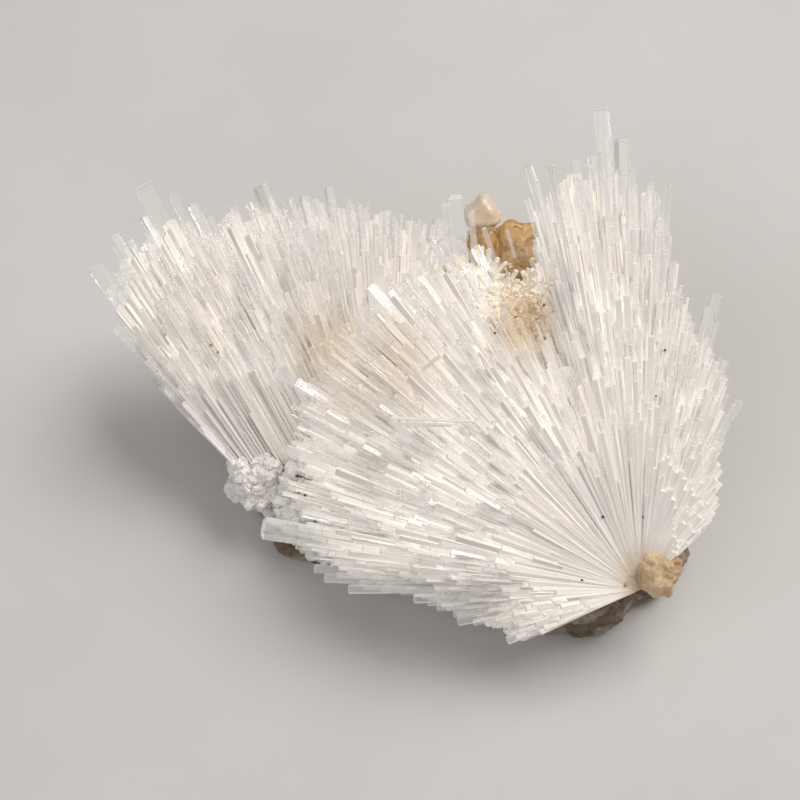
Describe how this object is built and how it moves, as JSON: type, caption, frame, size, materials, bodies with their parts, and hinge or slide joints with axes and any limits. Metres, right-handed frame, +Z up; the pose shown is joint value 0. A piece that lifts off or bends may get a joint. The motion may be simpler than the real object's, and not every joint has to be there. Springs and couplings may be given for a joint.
{
  "type": "scolecite specimen",
  "caption": "Mineral specimen: radiating sprays of slender clear and milky needle crystals on a low rock matrix, with small amber and peach guest crystals, resting on a flat underside.",
  "frame": {"origin": "middle of the bounding box, on the plane of the matrix's flat underside", "axes": "+Z up, +X to the right of the specimen as it is shown, +Y towards its back, where the needles point"},
  "size_m": [0.1001, 0.0754, 0.0468],
  "materials": {
    "clear_needles": "vitreous needles, clear at their ends and milky towards the root",
    "rock": "rough brown-grey weathered rock crust",
    "buff_root": "dull buff, slightly waxy",
    "amber": "clear honey amber, glossy faces",
    "peach": "cloudy pale peach, glossy faces",
    "white_druse": "white sugary crystal crust"
  },
  "bodies": {
    "root": {"right_spray": "clear_needles", "left_spray": "clear_needles", "matrix": "rock", "root_nub": "buff_root", "amber_crystal": "amber", "peach_crystal": "peach", "edge_druse": "white_druse"}
  },
  "joints": []
}
